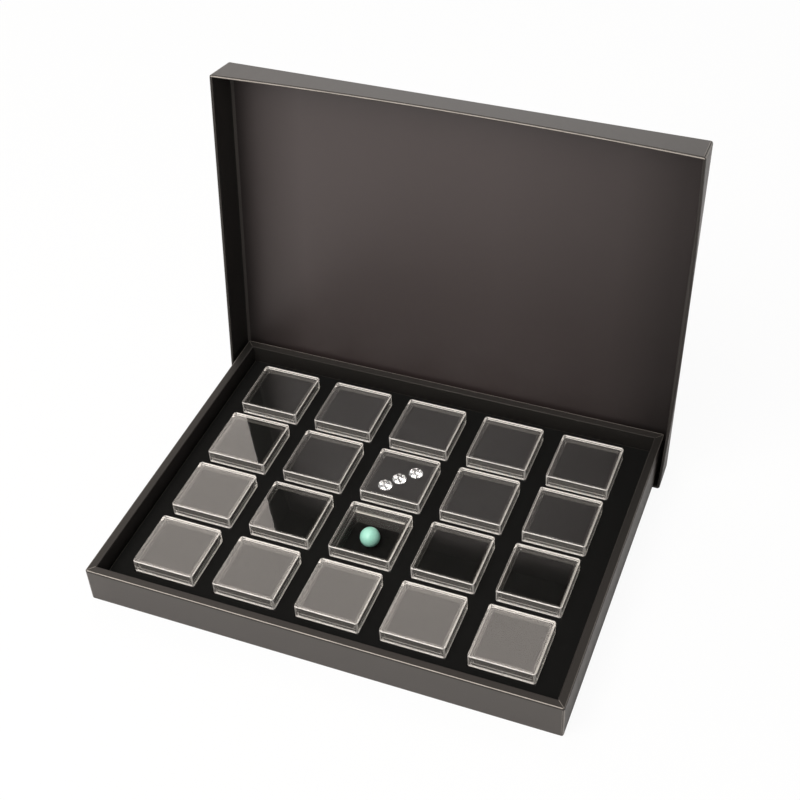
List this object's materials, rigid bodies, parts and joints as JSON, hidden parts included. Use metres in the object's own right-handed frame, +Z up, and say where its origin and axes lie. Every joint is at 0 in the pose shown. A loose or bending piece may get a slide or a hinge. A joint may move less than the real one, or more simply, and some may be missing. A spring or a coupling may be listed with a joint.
{
  "type": "sample display case",
  "caption": "Wrapped board case with a lift-off lid, whose foam insert holds small clear square boxes that lift out and open for samples.",
  "frame": {"origin": "middle of the tray's underside", "axes": "+X along the case to the right, +Y to the back where the lid stands, +Z up out of the tray"},
  "size_m": [0.2302, 0.1936, 0.1772],
  "materials": {
    "wrap_paper": "satin",
    "lining_paper": "satin",
    "black_foam": "matte",
    "clear_acrylic": "polished",
    "cut_stone": "polished",
    "glazed_bead": "satin"
  },
  "bodies": {
    "tray": {"tray_shell": "wrap_paper", "tray_frame": "wrap_paper", "foam_insert": "black_foam"},
    "case_lid": {"lid_shell": "wrap_paper", "lid_lining": "lining_paper"},
    "box_r1c1": {"box_r1c1_base": "clear_acrylic"},
    "box_r1c1_cover": {"box_r1c1_lid": "clear_acrylic"},
    "box_r1c2": {"box_r1c2_base": "clear_acrylic"},
    "box_r1c2_cover": {"box_r1c2_lid": "clear_acrylic"},
    "box_r1c3": {"box_r1c3_base": "clear_acrylic"},
    "box_r1c3_cover": {"box_r1c3_lid": "clear_acrylic"},
    "box_r1c4": {"box_r1c4_base": "clear_acrylic"},
    "box_r1c4_cover": {"box_r1c4_lid": "clear_acrylic"},
    "box_r1c5": {"box_r1c5_base": "clear_acrylic"},
    "box_r1c5_cover": {"box_r1c5_lid": "clear_acrylic"},
    "box_r2c1": {"box_r2c1_base": "clear_acrylic"},
    "box_r2c1_cover": {"box_r2c1_lid": "clear_acrylic"},
    "box_r2c2": {"box_r2c2_base": "clear_acrylic"},
    "box_r2c2_cover": {"box_r2c2_lid": "clear_acrylic"},
    "box_r2c3": {"box_r2c3_base": "clear_acrylic", "sample_stones": "cut_stone"},
    "box_r2c3_cover": {"box_r2c3_lid": "clear_acrylic"},
    "box_r2c4": {"box_r2c4_base": "clear_acrylic"},
    "box_r2c4_cover": {"box_r2c4_lid": "clear_acrylic"},
    "box_r2c5": {"box_r2c5_base": "clear_acrylic"},
    "box_r2c5_cover": {"box_r2c5_lid": "clear_acrylic"},
    "box_r3c1": {"box_r3c1_base": "clear_acrylic"},
    "box_r3c1_cover": {"box_r3c1_lid": "clear_acrylic"},
    "box_r3c2": {"box_r3c2_base": "clear_acrylic"},
    "box_r3c2_cover": {"box_r3c2_lid": "clear_acrylic"},
    "box_r3c3": {"box_r3c3_base": "clear_acrylic", "sample_bead": "glazed_bead"},
    "box_r3c3_cover": {"box_r3c3_lid": "clear_acrylic"},
    "box_r3c4": {"box_r3c4_base": "clear_acrylic"},
    "box_r3c4_cover": {"box_r3c4_lid": "clear_acrylic"},
    "box_r3c5": {"box_r3c5_base": "clear_acrylic"},
    "box_r3c5_cover": {"box_r3c5_lid": "clear_acrylic"},
    "box_r4c1": {"box_r4c1_base": "clear_acrylic"},
    "box_r4c1_cover": {"box_r4c1_lid": "clear_acrylic"},
    "box_r4c2": {"box_r4c2_base": "clear_acrylic"},
    "box_r4c2_cover": {"box_r4c2_lid": "clear_acrylic"},
    "box_r4c3": {"box_r4c3_base": "clear_acrylic"},
    "box_r4c3_cover": {"box_r4c3_lid": "clear_acrylic"},
    "box_r4c4": {"box_r4c4_base": "clear_acrylic"},
    "box_r4c4_cover": {"box_r4c4_lid": "clear_acrylic"},
    "box_r4c5": {"box_r4c5_base": "clear_acrylic"},
    "box_r4c5_cover": {"box_r4c5_lid": "clear_acrylic"}
  },
  "joints": [
    {"name": "case_lid_draw", "type": "slide", "parent": "tray", "child": "case_lid", "axis": [0, 1, 0], "range_m": [0, 0.06]},
    {"name": "box_r1c1_lift", "type": "slide", "parent": "tray", "child": "box_r1c1", "axis": [0, 0, 1], "range_m": [0, 0.03]},
    {"name": "box_r1c2_lift", "type": "slide", "parent": "tray", "child": "box_r1c2", "axis": [0, 0, 1], "range_m": [0, 0.03]},
    {"name": "box_r1c3_lift", "type": "slide", "parent": "tray", "child": "box_r1c3", "axis": [0, 0, 1], "range_m": [0, 0.03]},
    {"name": "box_r1c4_lift", "type": "slide", "parent": "tray", "child": "box_r1c4", "axis": [0, 0, 1], "range_m": [0, 0.03]},
    {"name": "box_r1c5_lift", "type": "slide", "parent": "tray", "child": "box_r1c5", "axis": [0, 0, 1], "range_m": [0, 0.03]},
    {"name": "box_r2c1_lift", "type": "slide", "parent": "tray", "child": "box_r2c1", "axis": [0, 0, 1], "range_m": [0, 0.03]},
    {"name": "box_r2c2_lift", "type": "slide", "parent": "tray", "child": "box_r2c2", "axis": [0, 0, 1], "range_m": [0, 0.03]},
    {"name": "box_r2c3_lift", "type": "slide", "parent": "tray", "child": "box_r2c3", "axis": [0, 0, 1], "range_m": [0, 0.03]},
    {"name": "box_r2c4_lift", "type": "slide", "parent": "tray", "child": "box_r2c4", "axis": [0, 0, 1], "range_m": [0, 0.03]},
    {"name": "box_r2c5_lift", "type": "slide", "parent": "tray", "child": "box_r2c5", "axis": [0, 0, 1], "range_m": [0, 0.03]},
    {"name": "box_r3c1_lift", "type": "slide", "parent": "tray", "child": "box_r3c1", "axis": [0, 0, 1], "range_m": [0, 0.03]},
    {"name": "box_r3c2_lift", "type": "slide", "parent": "tray", "child": "box_r3c2", "axis": [0, 0, 1], "range_m": [0, 0.03]},
    {"name": "box_r3c3_lift", "type": "slide", "parent": "tray", "child": "box_r3c3", "axis": [0, 0, 1], "range_m": [0, 0.03]},
    {"name": "box_r3c4_lift", "type": "slide", "parent": "tray", "child": "box_r3c4", "axis": [0, 0, 1], "range_m": [0, 0.03]},
    {"name": "box_r3c5_lift", "type": "slide", "parent": "tray", "child": "box_r3c5", "axis": [0, 0, 1], "range_m": [0, 0.03]},
    {"name": "box_r4c1_lift", "type": "slide", "parent": "tray", "child": "box_r4c1", "axis": [0, 0, 1], "range_m": [0, 0.03]},
    {"name": "box_r4c2_lift", "type": "slide", "parent": "tray", "child": "box_r4c2", "axis": [0, 0, 1], "range_m": [0, 0.03]},
    {"name": "box_r4c3_lift", "type": "slide", "parent": "tray", "child": "box_r4c3", "axis": [0, 0, 1], "range_m": [0, 0.03]},
    {"name": "box_r4c4_lift", "type": "slide", "parent": "tray", "child": "box_r4c4", "axis": [0, 0, 1], "range_m": [0, 0.03]},
    {"name": "box_r4c5_lift", "type": "slide", "parent": "tray", "child": "box_r4c5", "axis": [0, 0, 1], "range_m": [0, 0.03]},
    {"name": "box_r1c1_cover_lift", "type": "slide", "parent": "box_r1c1", "child": "box_r1c1_cover", "axis": [0, 0, 1], "range_m": [0, 0.02]},
    {"name": "box_r1c2_cover_lift", "type": "slide", "parent": "box_r1c2", "child": "box_r1c2_cover", "axis": [0, 0, 1], "range_m": [0, 0.02]},
    {"name": "box_r1c3_cover_lift", "type": "slide", "parent": "box_r1c3", "child": "box_r1c3_cover", "axis": [0, 0, 1], "range_m": [0, 0.02]},
    {"name": "box_r1c4_cover_lift", "type": "slide", "parent": "box_r1c4", "child": "box_r1c4_cover", "axis": [0, 0, 1], "range_m": [0, 0.02]},
    {"name": "box_r1c5_cover_lift", "type": "slide", "parent": "box_r1c5", "child": "box_r1c5_cover", "axis": [0, 0, 1], "range_m": [0, 0.02]},
    {"name": "box_r2c1_cover_lift", "type": "slide", "parent": "box_r2c1", "child": "box_r2c1_cover", "axis": [0, 0, 1], "range_m": [0, 0.02]},
    {"name": "box_r2c2_cover_lift", "type": "slide", "parent": "box_r2c2", "child": "box_r2c2_cover", "axis": [0, 0, 1], "range_m": [0, 0.02]},
    {"name": "box_r2c3_cover_lift", "type": "slide", "parent": "box_r2c3", "child": "box_r2c3_cover", "axis": [0, 0, 1], "range_m": [0, 0.02]},
    {"name": "box_r2c4_cover_lift", "type": "slide", "parent": "box_r2c4", "child": "box_r2c4_cover", "axis": [0, 0, 1], "range_m": [0, 0.02]},
    {"name": "box_r2c5_cover_lift", "type": "slide", "parent": "box_r2c5", "child": "box_r2c5_cover", "axis": [0, 0, 1], "range_m": [0, 0.02]},
    {"name": "box_r3c1_cover_lift", "type": "slide", "parent": "box_r3c1", "child": "box_r3c1_cover", "axis": [0, 0, 1], "range_m": [0, 0.02]},
    {"name": "box_r3c2_cover_lift", "type": "slide", "parent": "box_r3c2", "child": "box_r3c2_cover", "axis": [0, 0, 1], "range_m": [0, 0.02]},
    {"name": "box_r3c3_cover_lift", "type": "slide", "parent": "box_r3c3", "child": "box_r3c3_cover", "axis": [0, 0, 1], "range_m": [0, 0.02]},
    {"name": "box_r3c4_cover_lift", "type": "slide", "parent": "box_r3c4", "child": "box_r3c4_cover", "axis": [0, 0, 1], "range_m": [0, 0.02]},
    {"name": "box_r3c5_cover_lift", "type": "slide", "parent": "box_r3c5", "child": "box_r3c5_cover", "axis": [0, 0, 1], "range_m": [0, 0.02]},
    {"name": "box_r4c1_cover_lift", "type": "slide", "parent": "box_r4c1", "child": "box_r4c1_cover", "axis": [0, 0, 1], "range_m": [0, 0.02]},
    {"name": "box_r4c2_cover_lift", "type": "slide", "parent": "box_r4c2", "child": "box_r4c2_cover", "axis": [0, 0, 1], "range_m": [0, 0.02]},
    {"name": "box_r4c3_cover_lift", "type": "slide", "parent": "box_r4c3", "child": "box_r4c3_cover", "axis": [0, 0, 1], "range_m": [0, 0.02]},
    {"name": "box_r4c4_cover_lift", "type": "slide", "parent": "box_r4c4", "child": "box_r4c4_cover", "axis": [0, 0, 1], "range_m": [0, 0.02]},
    {"name": "box_r4c5_cover_lift", "type": "slide", "parent": "box_r4c5", "child": "box_r4c5_cover", "axis": [0, 0, 1], "range_m": [0, 0.02]}
  ]
}
